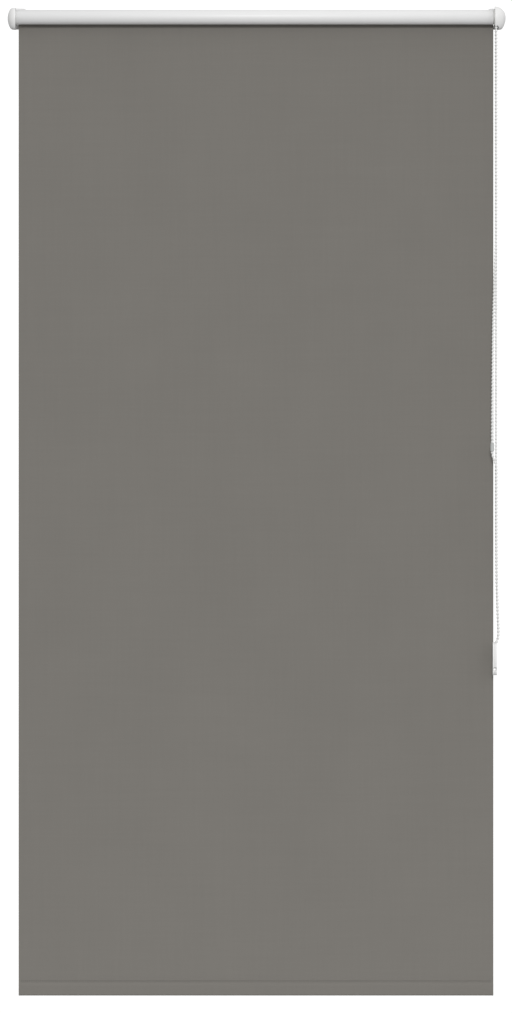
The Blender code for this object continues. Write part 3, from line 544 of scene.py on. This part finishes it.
def make_wheel_beads():
    """The beads in the wheel's upper pockets, and the two on each side that hang into the cover."""
    x = FRONT_ROUTE[0][0]
    drop = -FRONT_ROUTE[0][2]
    steps = 36
    over = [
        Vector((
            x,
            AXIS_Y - PITCH_RADIUS * math.cos(math.pi * n / steps),
            PITCH_RADIUS * math.sin(math.pi * n / steps),
        ))
        for n in range(steps + 1)
    ]
    route = [over[0] - Vector((0, 0, drop)), *over, over[-1] - Vector((0, 0, drop))]
    frames = []
    for n in range(POCKET_COUNT // 2 + 1):
        turn = 2 * math.pi * n / POCKET_COUNT
        centre = Vector((x, AXIS_Y + PITCH_RADIUS * math.cos(turn), PITCH_RADIUS * math.sin(turn)))
        frames.append((centre, Vector((0, -math.sin(turn), math.cos(turn)))))
    for end in (over[0], over[-1]):
        frames += [
            (end - Vector((0, 0, n * BEAD_PITCH)), Vector((0, 0, 1)))
            for n in range(1, HANGING_BEADS + 1)
        ]
    mesh = beads_on_thread("wheel_beads", frames, route)
    return piece("wheel_beads", mesh, CHAIN_PLASTIC, "root", "chain_plastic", "chain_on_wheel")


# ---------------------------------------------------------------- tube


def make_tube():
    """A smooth enamelled tube with its inner key."""
    bore = TUBE_RADIUS - TUBE_WALL
    outer = [
        (TUBE_RADIUS * math.cos(a), TUBE_RADIUS * math.sin(a))
        for a in (math.radians(-90 + 360 * n / TUBE_SIDES) for n in range(TUBE_SIDES))
    ]
    half = math.asin(TUBE_KEY_WIDTH / 2 / bore)
    top = -bore * math.cos(half) + TUBE_KEY_HEIGHT
    key_x = TUBE_KEY_WIDTH / 2
    key = [(-key_x, top), (0, top), (key_x, top)]
    start, sweep = half - math.pi / 2, 2 * math.pi - 2 * half
    round_points = TUBE_SIDES - len(key) - 1
    inner = [(key_x, top - TUBE_KEY_STEP)] + [
        (bore * math.cos(a), bore * math.sin(a))
        for a in (start + sweep * n / (round_points - 1) for n in range(round_points))
    ] + key
    xs = (TUBE_LOW.x, TUBE_LOW.x + TUBE_LIP, TUBE_HIGH.x - TUBE_LIP, TUBE_HIGH.x)
    work = bmesh.new()

    def ring(x, outline, shrink=0.0):
        made = []
        for y, z in outline:
            r = math.hypot(y, z)
            made.append((x, AXIS_Y + y * (r - shrink) / r, z * (r - shrink) / r))
        return made

    rings = [
        ring(xs[0], outer, TUBE_LIP), ring(xs[1], outer), ring(xs[2], outer),
        ring(xs[3], outer, TUBE_LIP), ring(xs[3], inner), ring(xs[0], inner),
    ]
    rows = sweep_rings(work, rings, True)
    for n in range(TUBE_SIDES):
        m = (n + 1) % TUBE_SIDES
        work.faces.new((rows[-1][n], rows[-1][m], rows[0][m], rows[0][n]))
    tube = mesh_from(work, "tube", 50)
    return piece("tube", tube, ENAMEL, "roller", "white_enamel", "roller_tube")


# ---------------------------------------------------------------- fabric


def thicken(cloth):
    """Give a sheet the cloth's thickness, with its cut edges left crisp."""
    thick = cloth.modifiers.new("thickness", "SOLIDIFY")
    thick.thickness = FABRIC_THICKNESS
    thick.offset = 0
    crisp = cloth.modifiers.new("crisp", "WEIGHTED_NORMAL")
    crisp.weight = 100


def panel_offset(x, z):
    """How far the cloth stands from its plane: side curl and a slow ripple, none at top or hem."""
    top = min(1.0, -z / HELD_AT_TOP)
    bottom = min(1.0, (z - PANEL_LOW.z) / HELD_AT_HEM)
    hold = max(0.0, min(top, bottom))
    hold = hold * hold * (3 - 2 * hold)
    edge = min(x - PANEL_LOW.x, PANEL_HIGH.x - x)
    curl = max(0.0, 1 - edge / CURL_WIDTH) ** 2 * CURL_DEPTH
    ripple = noise.noise(Vector((x * 3.1, 0.0, z * 1.3))) * RIPPLE_DEPTH
    fine = noise.noise(Vector((x * 14.0, 4.0, z * 2.2))) * FINE_RIPPLE_DEPTH
    return hold * (curl + ripple + fine)


def make_panel():
    """The hanging cloth, with closer columns towards its sides."""
    columns, rows = 150, 190
    work = bmesh.new()
    rings = []
    for r in range(rows + 1):
        z = PANEL_HIGH.z + (PANEL_LOW.z - PANEL_HIGH.z) * r / rows
        ring = []
        for c in range(columns + 1):
            x = PANEL_LOW.x + FABRIC_WIDTH * (0.5 - 0.5 * math.cos(math.pi * c / columns))
            ring.append((x, PANEL_Y + panel_offset(x, z), z))
        rings.append(ring)
    sweep_rings(work, rings, False)
    panel = piece(
        "fabric_sheet", mesh_from(work, "fabric_sheet"), FABRIC, "root", "blind_fabric",
        "fabric_panel",
    )
    thicken(panel)
    return panel


def make_lead():
    """The cloth's glued end, up the back of the tube from the line where it hangs free."""
    radius = PANEL_Y - AXIS_Y
    work = bmesh.new()
    rings = []
    steps, columns = 24, 40
    last = math.asin(min(1.0, LEAD_HIGH.z / (radius + FABRIC_THICKNESS / 2)))
    for n in range(steps + 1):
        turn = last * n / steps
        ring = []
        for c in range(columns + 1):
            x = LEAD_LOW.x + (LEAD_HIGH.x - LEAD_LOW.x) * c / columns
            ring.append((x, AXIS_Y + radius * math.cos(turn), radius * math.sin(turn)))
        rings.append(ring)
    sweep_rings(work, rings, False)
    lead = piece(
        "fabric_lead_end", mesh_from(work, "fabric_lead_end"), FABRIC, "roller", "blind_fabric",
        "fabric_lead",
    )
    thicken(lead)
    return lead


def hem_section():
    """The hem's centre line in (y, z): just proud of the panel, round the bar, and up behind."""
    half = (HEM_HIGH.y - HEM_LOW.y) / 2 - FABRIC_THICKNESS / 2
    top, bottom = HEM_HIGH.z, HEM_LOW.z + FABRIC_THICKNESS / 2
    sewn_to = top - HEM_SEWN
    easing_steps, turn_steps = 10, 14
    front = [
        (-HEM_PROUD, top + HEM_OVERLAP), (-HEM_PROUD, top),
        (HEM_GROOVE - HEM_PROUD, top - STITCH_DROP), (0, sewn_to),
    ]
    back = [
        (HEM_LAP, top), (HEM_LAP, top - HEM_CREASE), (HEM_LAP - HEM_GROOVE, top - STITCH_DROP),
        (HEM_LAP, sewn_to),
    ]
    for n in range(1, easing_steps + 1):
        ease = (1 - math.cos(math.pi * n / easing_steps)) / 2
        z = sewn_to - HEM_EASING * n / easing_steps
        front.append((-half * ease, z))
        back.append((HEM_LAP + (half - HEM_LAP) * ease, z))
    straight = [(-half, bottom + half + HEM_STRAIGHT), (-half, bottom + half)]
    turn = [
        (-half * math.cos(a), bottom + half - half * math.sin(a))
        for a in (math.pi * n / turn_steps for n in range(1, turn_steps))
    ]
    return front + straight + turn + [(-y, z) for y, z in reversed(straight)] + back[::-1]


def make_hem():
    """The pocket round the bar, a little uneven below its seam."""
    section = hem_section()
    work = bmesh.new()
    rings = []
    columns = 160
    for c in range(columns + 1):
        x = HEM_LOW.x + (HEM_HIGH.x - HEM_LOW.x) * c / columns
        wave = noise.noise(Vector((x * 11, 2.0, 0))) * HEM_WAVE
        ring = []
        for y, z in section:
            depth = max(0.0, min(1.0, (HEM_HIGH.z - z) / HEM_CALM))
            pucker = noise.noise(Vector((x * 60, 7.0, z * 40))) * HEM_PUCKER * depth
            ring.append((x, PANEL_Y + y + (wave + pucker) * depth * 0.5, z))
        rings.append(ring)
    sweep_rings(work, rings, False)
    mesh = mesh_from(work, "hem", 60)
    hem = piece("hem", mesh, FABRIC, "bottom_bar", "blind_fabric", "hem_pocket")
    thicken(hem)
    return hem


def make_stitches():
    """Two rows of lockstitches along the top of the hem, just proud of it in front and behind."""
    first_row = HEM_HIGH.z - STITCH_DROP
    front, back = PANEL_Y - FABRIC_THICKNESS * 0.55, PANEL_Y + FABRIC_THICKNESS * 1.5
    count = int((FABRIC_WIDTH - 2 * STITCH_MARGIN) / STITCH_PITCH)
    start = (HEM_LOW.x + HEM_HIGH.x) / 2 - STITCH_PITCH * (count - 1) / 2
    shape = bmesh.new()
    bmesh.ops.create_uvsphere(shape, u_segments=8, v_segments=6, radius=1.0)
    size = (STITCH_WIDTH / 2, STITCH_WIDTH / 2, STITCH_LENGTH / 2)
    bmesh.ops.scale(shape, vec=size, verts=shape.verts)
    shape.verts.index_update()
    frames = [
        (Vector((start + n * STITCH_PITCH, y, z)), Vector((1, 0, 0)))
        for n in range(count)
        for y in (front, back)
        for z in (first_row, first_row - STITCH_ROWS)
    ]
    points, polygons = copies(shape, frames)
    mesh = bpy.data.meshes.new("hem_stitches")
    mesh.from_pydata(points, [], polygons)
    mesh.shade_smooth()
    return piece("hem_stitches", mesh, STITCHING, "bottom_bar", "blind_fabric")


# ---------------------------------------------------------------- covers


def levelled(height, limit):
    """A height that levels off smoothly as it nears a limit."""
    return height / (1 + (abs(height) / limit) ** COVER_FLATNESS) ** (1 / COVER_FLATNESS)


def dome(side, rim_x, apex_x, front_y, back_y, form):
    """A domed end cap as an open surface: a full quarter dome, drawn straight back."""
    work = bmesh.new()
    bmesh.ops.create_uvsphere(work, u_segments=96, v_segments=64, radius=1.0)
    slack = 0.001
    gone = [v for v in work.verts if v.co.x * side < -slack or v.co.y > slack]
    bmesh.ops.delete(work, geom=gone, context="VERTS")
    for vert in work.verts:
        vert.co /= sum(abs(c) ** COVER_FULLNESS for c in vert.co) ** (1 / COVER_FULLNESS)
        above = vert.co.z > 0
        vert.co.x *= abs(apex_x - rim_x)
        vert.co.y *= AXIS_Y - front_y
        height = vert.co.z * (form["rise"] if above else form["fall"])
        vert.co.z = levelled(height, form["top"] if above else form["bottom"])
    middle = [
        e for e in work.edges if e.is_boundary and all(abs(v.co.y) < TOLERANCE for v in e.verts)
    ]
    made = bmesh.ops.extrude_edge_only(work, edges=middle)["geom"]
    back = [v for v in made if isinstance(v, bmesh.types.BMVert)]
    bmesh.ops.translate(work, vec=(0, back_y - AXIS_Y, 0), verts=back)
    bmesh.ops.translate(work, vec=(rim_x, AXIS_Y, -form["drop"]), verts=work.verts)
    return work


def make_cover(node, name, side, form, notch=None):
    """One bracket cover: a shell with a rounded rim, and the chain's opening on the right."""
    low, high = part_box(node)
    rim_x = high[0] if side < 0 else low[0]
    apex_x = low[0] if side < 0 else high[0]
    work = dome(side, rim_x, apex_x, low[1], high[1], form)
    cover = piece(name, mesh_from(work, name, 60), PLASTIC, "root", "white_plastic", node)
    shell = cover.modifiers.new("wall", "SOLIDIFY")
    shell.thickness = COVER_WALL
    shell.offset = -1
    shell.use_even_offset = True
    if notch:
        opening = cover.modifiers.new("chain_opening", "BOOLEAN")
        opening.operation = "DIFFERENCE"
        opening.object = notch
    edge = cover.modifiers.new("rounded_rim", "BEVEL")
    edge.width = COVER_RIM
    edge.segments = 3
    edge.limit_method = "ANGLE"
    edge.angle_limit = math.radians(50)
    return cover


def notch_cutter():
    """The block that cuts the chain's opening into the right cover's underside."""
    low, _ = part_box("right_bracket_cover")
    reach = PITCH_RADIUS + 2 * BEAD_RADIUS
    x = FRONT_ROUTE[0][0]
    corner_low = Vector((low[0] - NOTCH_SIDE_ROOM, AXIS_Y - reach, low[2] - NOTCH_DEPTH_ROOM))
    corner_high = Vector((x + 2 * BEAD_RADIUS, AXIS_Y + reach, -PITCH_RADIUS))
    work = bmesh.new()
    bmesh.ops.create_cube(work, size=1.0)
    bmesh.ops.scale(work, vec=corner_high - corner_low, verts=work.verts)
    bmesh.ops.translate(work, vec=(corner_low + corner_high) / 2, verts=work.verts)
    bmesh.ops.bevel(
        work, geom=[e for e in work.edges if abs(e.verts[0].co.y - e.verts[1].co.y) < TOLERANCE],
        offset=NOTCH_CORNER, segments=4, affect="EDGES",
    )
    mesh = bpy.data.meshes.new("notch_cutter")
    work.to_mesh(mesh)
    work.free()
    cutter = bpy.data.objects.new("notch_cutter", mesh)
    bpy.context.scene.collection.objects.link(cutter)
    cutter.hide_render = True
    cutter.hide_viewport = True
    return cutter


def apply_modifiers(thing):
    """Make the evaluated shape the piece's own mesh."""
    bpy.context.view_layer.update()
    graph = bpy.context.evaluated_depsgraph_get()
    mesh = bpy.data.meshes.new_from_object(thing.evaluated_get(graph), depsgraph=graph)
    thing.modifiers.clear()
    thing.data = mesh


# ---------------------------------------------------------------- studio


def make_surround():
    """White where the camera looks; the rest is brighter from above and from the chain's side."""
    world = bpy.data.worlds.new("surround")
    bpy.context.scene.world = world
    world.use_nodes = True
    tree = world.node_tree
    background = tree.nodes["Background"]
    background.inputs["Color"].default_value = (1, 1, 1, 1)
    direction = tree.nodes.new("ShaderNodeTexCoord")
    parts = tree.nodes.new("ShaderNodeSeparateXYZ")
    tree.links.new(direction.outputs["Generated"], parts.inputs["Vector"])
    height = tree.nodes.new("ShaderNodeMapRange")
    height.interpolation_type = "SMOOTHSTEP"
    height.inputs["From Min"].default_value = -WORLD_BLEND
    height.inputs["From Max"].default_value = WORLD_BLEND
    height.inputs["To Min"].default_value = WORLD_BELOW
    height.inputs["To Max"].default_value = WORLD_ABOVE
    tree.links.new(parts.outputs["Z"], height.inputs["Value"])
    sideways = tree.nodes.new("ShaderNodeMapRange")
    sideways.inputs["From Min"].default_value = -1
    sideways.inputs["From Max"].default_value = 1
    sideways.inputs["To Min"].default_value = WORLD_LEFT
    sideways.inputs["To Max"].default_value = WORLD_RIGHT
    tree.links.new(parts.outputs["X"], sideways.inputs["Value"])
    soft = tree.nodes.new("ShaderNodeMath")
    soft.operation = "MULTIPLY"
    tree.links.new(height.outputs["Result"], soft.inputs[0])
    tree.links.new(sideways.outputs["Result"], soft.inputs[1])
    path = tree.nodes.new("ShaderNodeLightPath")
    strength = tree.nodes.new("ShaderNodeMix")
    strength.inputs["B"].default_value = WORLD_SEEN
    tree.links.new(path.outputs["Is Camera Ray"], strength.inputs["Factor"])
    tree.links.new(soft.outputs["Value"], strength.inputs["A"])
    tree.links.new(strength.outputs["Result"], background.inputs["Strength"])


def make_floor():
    """A plain pale disc below the blind."""
    mesh = bpy.data.meshes.new("floor")
    work = bmesh.new()
    bmesh.ops.create_circle(work, cap_ends=True, segments=96, radius=FLOOR_RADIUS)
    work.to_mesh(mesh)
    work.free()
    floor = bpy.data.objects.new("floor", mesh)
    floor.location = (0, 0, cad_box[0][2] - FLOOR_DROP)
    bpy.context.scene.collection.objects.link(floor)
    mesh.materials.append(Look("pale_floor", (0.75, 0.75, 0.75), 0.8).material)


def make_key():
    """A soft light from in front and a little above."""
    light = bpy.data.lights.new("key", "SUN")
    light.energy = KEY_STRENGTH
    light.angle = math.radians(KEY_WIDTH)
    lamp = bpy.data.objects.new("key", light)
    up, side = math.radians(KEY_ELEVATION), math.radians(KEY_SIDE)
    travel = Vector((-math.sin(side) * math.cos(up), math.cos(side) * math.cos(up), -math.sin(up)))
    lamp.rotation_euler = travel.to_track_quat("-Z", "Y").to_euler()
    bpy.context.scene.collection.objects.link(lamp)


def make_camera():
    """Straight on from the room, far back with a long lens."""
    camera = bpy.data.cameras.new("camera")
    camera.sensor_width = 36
    camera.lens = camera.sensor_width * CAMERA_DISTANCE / (IMAGE_HEIGHT * METRES_A_PIXEL)
    camera.clip_start = 0.05
    camera.clip_end = 200
    seen = bpy.data.objects.new("camera", camera)
    seen.location = CAMERA_TARGET - Vector((0, CAMERA_DISTANCE, 0))
    seen.rotation_euler = (math.pi / 2, 0, 0)
    bpy.context.scene.collection.objects.link(seen)
    bpy.context.scene.camera = seen


# ---------------------------------------------------------------- assembly


def make_end_spring():
    """The idle end's spring, which its pin shortens."""
    spring = softened("idle_spring", "end_spring", WIRE, "roller", "spring_steel", 0.02 * MM)
    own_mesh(spring)


def main():
    bpy.context.scene.view_settings.view_transform = "Standard"
    make_surround()
    make_floor()
    make_key()
    make_camera()

    loop, route, length = make_chain()
    make_wheel_beads()
    connector = softened(
        "chain_connector", "connector", CONNECTOR_PLASTIC, "root", "chain_plastic", 0.9 * MM
    )
    body = softened(
        "tensioner_body", "tensioner_half_right", PLASTIC, "root", "white_plastic", 0.4 * MM
    )
    cover = softened(
        "tensioner_cover", "tensioner_half_left", PLASTIC, "root", "white_plastic", 0.4 * MM
    )

    make_tube()
    panel = make_panel()
    lead = make_lead()
    hem = make_hem()
    stitches = make_stitches()
    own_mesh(panel)

    make_cover("left_bracket_cover", "left_end_cover", -1, LEFT_COVER)
    notch = notch_cutter()
    right = make_cover("right_bracket_cover", "right_end_cover", 1, RIGHT_COVER, notch)
    apply_modifiers(right)
    bpy.data.objects.remove(notch, do_unlink=True)

    for node, name, material, body, slot, width in (
        ("left_bracket", "left_angle", ENAMEL, "root", "white_enamel", 0.3),
        ("right_bracket", "right_angle", ENAMEL, "root", "white_enamel", 0.3),
        ("chain_guard", "guard_hood", PLASTIC, "root", "white_plastic", 0.25),
        ("clutch_spindle", "spindle", CLUTCH_PLASTIC, "root", "clutch_plastic", 0.25),
        ("clutch_crown", "crown", CLUTCH_PLASTIC, "roller", "clutch_plastic", 0.2),
        ("chain_wheel", "bead_wheel", CLUTCH_PLASTIC, "chain_wheel", "clutch_plastic", 0.15),
        ("idle_plug", "end_plug", PLASTIC, "roller", "white_plastic", 0.25),
        ("idle_plug_cap", "end_plug_cap", PLASTIC, "roller", "white_plastic", 0.25),
        ("idle_pin", "end_pin", WIRE, "idle_pin", "spring_steel", 0.2),
        ("spindle_clip", "retaining_clip", WIRE, "root", "spring_steel", 0.15),
        ("bottom_bar", "bar", ALUMINIUM, "bottom_bar", "bar_aluminium", 0.2),
        ("bottom_bar_cap_left", "bar_cap_left", PLASTIC, "bottom_bar", "white_plastic", 0.3),
        ("bottom_bar_cap_right", "bar_cap_right", PLASTIC, "bottom_bar", "white_plastic", 0.3),
    ):
        softened(node, name, material, body, slot, width * MM)
    dress("fixing_tape", TAPE)
    for node in ("wrap_spring_inner", "wrap_spring_outer"):
        dress(node, WIRE)
    make_end_spring()


main()
